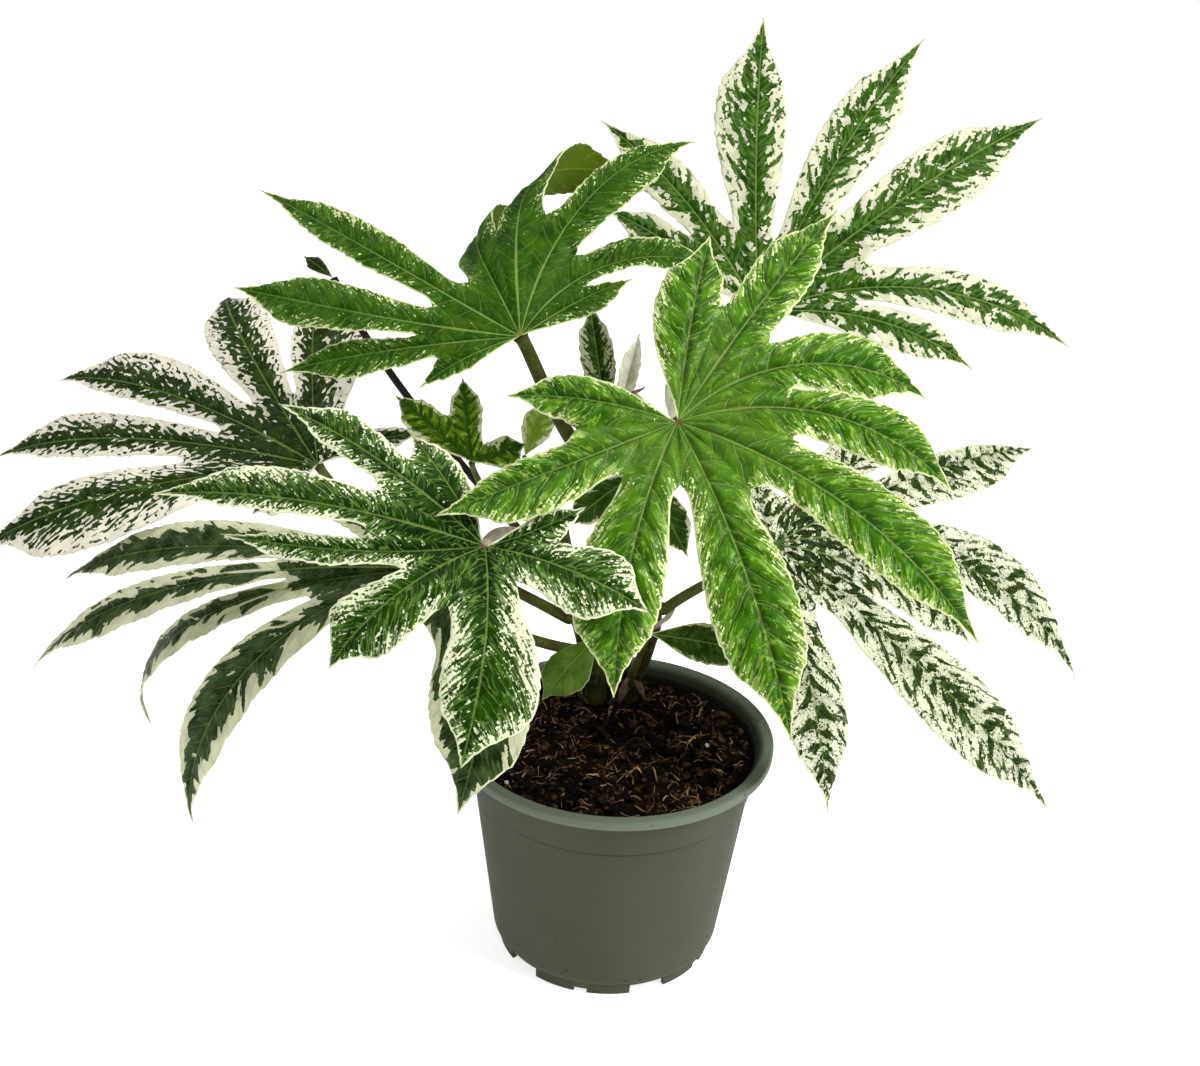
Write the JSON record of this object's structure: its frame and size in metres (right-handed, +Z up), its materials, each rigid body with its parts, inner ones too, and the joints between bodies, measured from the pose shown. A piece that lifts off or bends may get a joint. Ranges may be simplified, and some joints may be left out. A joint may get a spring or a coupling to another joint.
{
  "type": "potted plant",
  "caption": "Variegated fatsia house plant: palmate leaves marbled green and cream on long stalks, from upright stems in moist dark soil, in a round grey-green plastic nursery pot.",
  "frame": {"origin": "on the ground, under the middle of the whole plant's box", "axes": "+Z up, +X towards the plant's right as seen from its front, which is its longest side, +Y towards its back"},
  "size_m": [0.6826, 0.4115, 0.5265],
  "materials": {
    "pot_plastic": "matte grey-green moulded plastic",
    "soil": "moist crumbly peat with coir strands",
    "stem_bark": "green to brown young bark",
    "stalk_skin": "smooth green-brown",
    "stalk_pale": "smooth, pale",
    "stalk_purple": "smooth, dark purple",
    "blade_green": "glossy green with a thin cream edge",
    "blade_cream": "glossy, dark green marbled with cream",
    "blade_streaked": "glossy green with cream streaks",
    "blade_dark": "glossy dark green with cream margins",
    "blade_young": "soft yellow-green and cream"
  },
  "bodies": {
    "root": {"pot": "pot_plastic", "soil": "soil", "stem_left": "stem_bark", "stem_right": "stem_bark", "stalk_top": "stalk_skin", "stalk_back": "stalk_skin", "stalk_front": "stalk_skin", "stalk_low_front": "stalk_pale", "stalk_left": "stalk_skin", "stalk_low_left": "stalk_skin", "stalk_right": "stalk_skin", "stalk_inner": "stalk_skin", "stalk_young_left": "stalk_skin", "stalk_young_pale": "stalk_skin", "stalk_young_far": "stalk_purple", "stalk_base_left": "stalk_skin", "stalk_base_right": "stalk_skin", "leaf_top": "blade_green", "leaf_back": "blade_cream", "leaf_front": "blade_green", "leaf_low_front": "blade_streaked", "leaf_left": "blade_cream", "leaf_low_left": "blade_dark", "leaf_right": "blade_cream", "leaf_inner": "blade_dark", "leaf_young_left": "blade_young", "leaf_young_pale": "blade_young", "leaf_young_far": "blade_dark", "leaf_shoot": "blade_young", "leaf_shoot_small": "blade_young", "leaf_base_left": "blade_dark", "leaf_base_right": "blade_dark"}
  },
  "joints": []
}
